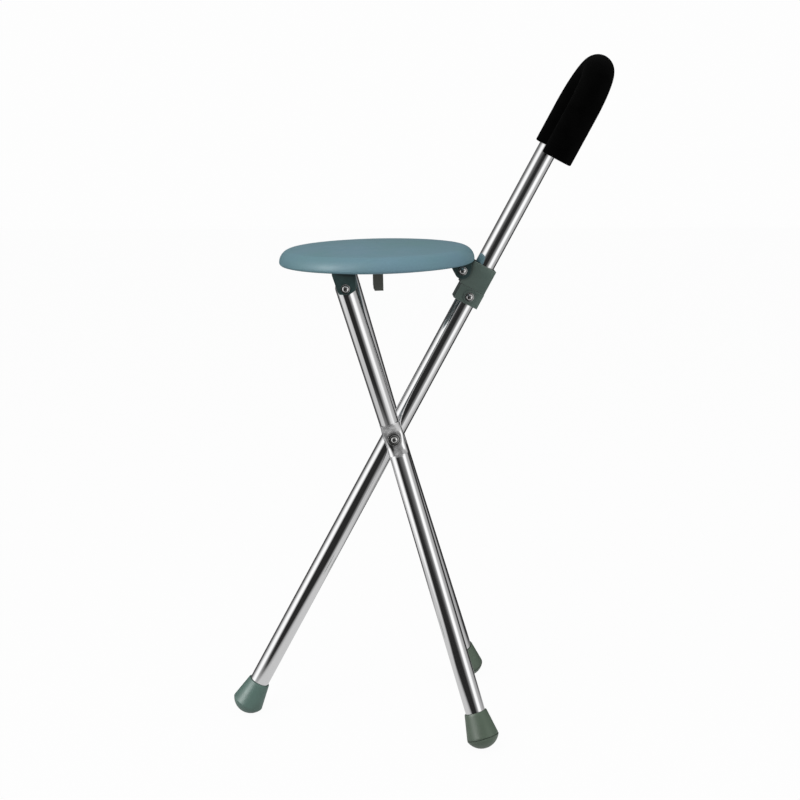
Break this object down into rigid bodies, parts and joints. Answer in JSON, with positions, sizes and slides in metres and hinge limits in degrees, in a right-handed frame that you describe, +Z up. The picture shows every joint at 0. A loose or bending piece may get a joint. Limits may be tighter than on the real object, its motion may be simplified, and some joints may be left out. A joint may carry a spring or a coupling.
{
  "type": "walking stick seat",
  "caption": "Folding walking stick with a round seat: a crook-handled stick and a pair of splayed legs cross on a bolt, and a slider on the stick folds the seat flat.",
  "frame": {"origin": "middle of the flat that the stick's foot stands on, on the floor", "axes": "+Z up; the stick leans towards +X at its top and its handle bends towards -Y; the legs lean towards -X at their tops, the left one at -Y"},
  "size_m": [0.4137, 0.2484, 0.7459],
  "materials": {
    "chromed_tube": "polished",
    "foam": "matte foam",
    "black_plastic": "matte",
    "foot_rubber": "satin",
    "seat_plastic": "matte",
    "grey_plastic": "satin",
    "plated_steel": "zinc plated"
  },
  "bodies": {
    "stick": {"stick_tube": "chromed_tube", "handle_grip": "foam", "handle_end_plug": "black_plastic", "stick_foot": "foot_rubber", "stick_foot_washer": "plated_steel", "stop_collar": "grey_plastic", "collar_screw": "plated_steel", "collar_nut": "plated_steel", "pivot_bolt": "plated_steel", "pivot_nut": "plated_steel", "pivot_spacers": "grey_plastic", "pivot_washers": "plated_steel"},
    "legs": {"leg_tube_left": "chromed_tube", "leg_tube_right": "chromed_tube", "leg_top_plug_left": "black_plastic", "leg_top_plug_right": "black_plastic", "leg_foot_left": "foot_rubber", "leg_foot_right": "foot_rubber", "leg_foot_washers": "plated_steel"},
    "seat": {"seat_shell": "seat_plastic", "seat_base": "seat_plastic", "seat_base_screws": "plated_steel", "front_bracket_left": "grey_plastic", "front_bracket_right": "grey_plastic", "front_bracket_screws": "plated_steel", "leg_hinge_screws": "plated_steel", "leg_hinge_nuts": "plated_steel", "rear_bracket": "grey_plastic", "rear_bracket_screws": "plated_steel", "rear_hinge_screw": "plated_steel", "rear_hinge_nut": "plated_steel", "stick_clip": "black_plastic", "clip_screws": "plated_steel"},
    "slider": {"slider_sleeve": "grey_plastic"}
  },
  "joints": [
    {"name": "leg_pivot", "type": "hinge", "parent": "stick", "child": "legs", "pos_m": [0.16589, 0, 0.331], "axis": [0, 1, 0], "range_deg": [0, 43.4]},
    {"name": "seat_hinge", "type": "hinge", "parent": "legs", "child": "seat", "pos_m": [0.11344, 0, 0.50695], "axis": [0, 1, 0], "range_deg": [-108.9, 0]},
    {"name": "slider_hinge", "type": "hinge", "parent": "seat", "child": "slider", "pos_m": [0.24099, 0, 0.51611], "axis": [0, 1, 0], "range_deg": [0, 65.5]}
  ],
  "couplings": [
    {"joint": "seat_hinge", "follows": "leg_pivot", "ratio": -2.5073},
    {"joint": "slider_hinge", "follows": "leg_pivot", "ratio": 1.5073}
  ]
}
